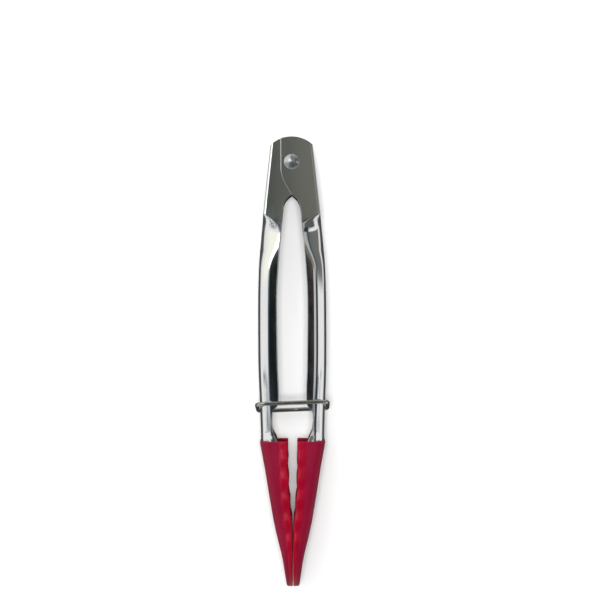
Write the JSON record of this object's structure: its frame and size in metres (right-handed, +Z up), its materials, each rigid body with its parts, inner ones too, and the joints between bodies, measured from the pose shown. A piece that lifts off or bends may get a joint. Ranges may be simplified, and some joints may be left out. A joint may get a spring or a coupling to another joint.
{
  "type": "spring loaded kitchen tongs",
  "caption": "Spring loaded tongs with folded steel arms, soft scalloped tips and a wire ring that slides along the arms to lock them shut.",
  "frame": {"origin": "middle of the length and width, on the plane that the tongs lie on", "axes": "+X is the way the right-hand arm opens, +Y runs from the tips up to the hinge, +Z is up along the hinge pin, towards the rivet's domed head"},
  "size_m": [0.0398, 0.2398, 0.0284],
  "materials": {
    "polished_steel": "mirror polished stainless sheet",
    "ring_wire": "bright drawn wire",
    "spring_wire": "drawn spring wire",
    "red_silicone": "satin moulded silicone"
  },
  "bodies": {
    "hinge": {"hinge_rivet": "polished_steel", "torsion_spring": "spring_wire"},
    "right_arm": {"outer_arm": "polished_steel", "outer_arm_tip": "red_silicone"},
    "left_arm": {"inner_arm": "polished_steel", "inner_arm_tip": "red_silicone"},
    "ring": {"locking_ring": "ring_wire"}
  },
  "joints": [
    {"name": "right_arm_pivot", "type": "hinge", "parent": "hinge", "child": "right_arm", "pos_m": [0, 0.10665, 0.0142], "axis": [0, 0, 1], "range_deg": [0, 11.5], "deforming": ["torsion_spring"]},
    {"name": "left_arm_pivot", "type": "hinge", "parent": "hinge", "child": "left_arm", "pos_m": [0, 0.10665, 0.0142], "axis": [0, 0, 1], "range_deg": [-11.5, 0]},
    {"name": "ring_slide", "type": "slide", "parent": "hinge", "child": "ring", "axis": [0, 1, 0], "range_m": [0, 0.1181], "deforming": ["locking_ring"]}
  ],
  "couplings": [
    {"joint": "left_arm_pivot", "follows": "right_arm_pivot", "ratio": -1},
    {"joint": "ring_slide", "follows": "right_arm_pivot", "m_per_rad": 0.588}
  ]
}
